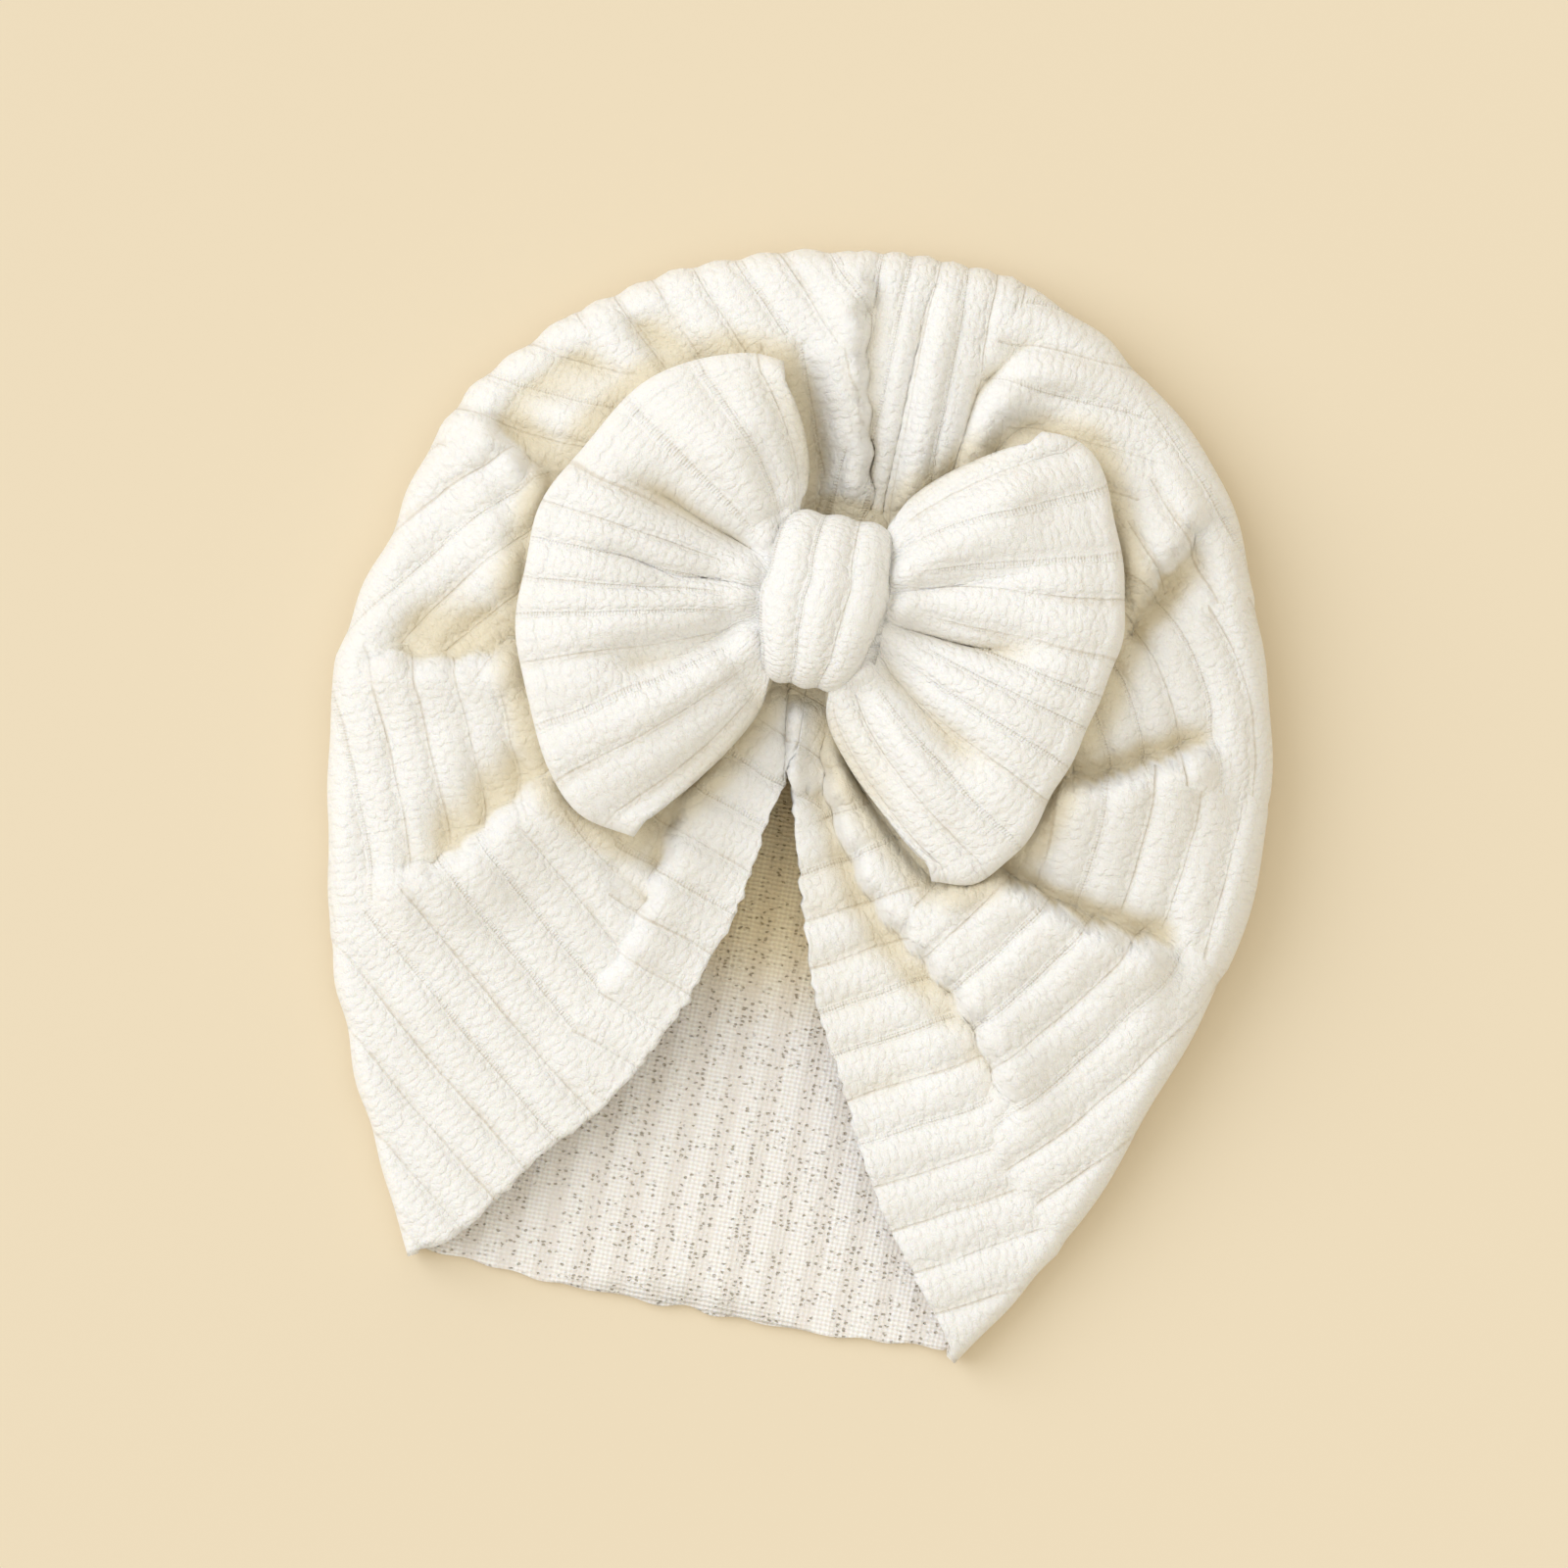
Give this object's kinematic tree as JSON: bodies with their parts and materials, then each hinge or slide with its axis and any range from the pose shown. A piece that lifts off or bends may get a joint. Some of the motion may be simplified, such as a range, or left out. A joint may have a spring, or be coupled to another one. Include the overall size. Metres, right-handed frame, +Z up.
{
  "type": "baby turban hat",
  "caption": "Soft ribbed-knit baby turban hat lying on its back: a hollow gathered cap slit at the front, with a looped bow held by a knot band.",
  "frame": {"origin": "on the floor under the middle of the cap as it lies", "axes": "+Y from the back hem to the crown, +X to the right of the bow seen from above, +Z up through the bow"},
  "size_m": [0.18, 0.2066, 0.0348],
  "materials": {
    "rib_knit": "matt, softly brushed"
  },
  "bodies": {
    "root": {"cap": "rib_knit", "bow": "rib_knit", "knot_band": "rib_knit"}
  },
  "joints": []
}
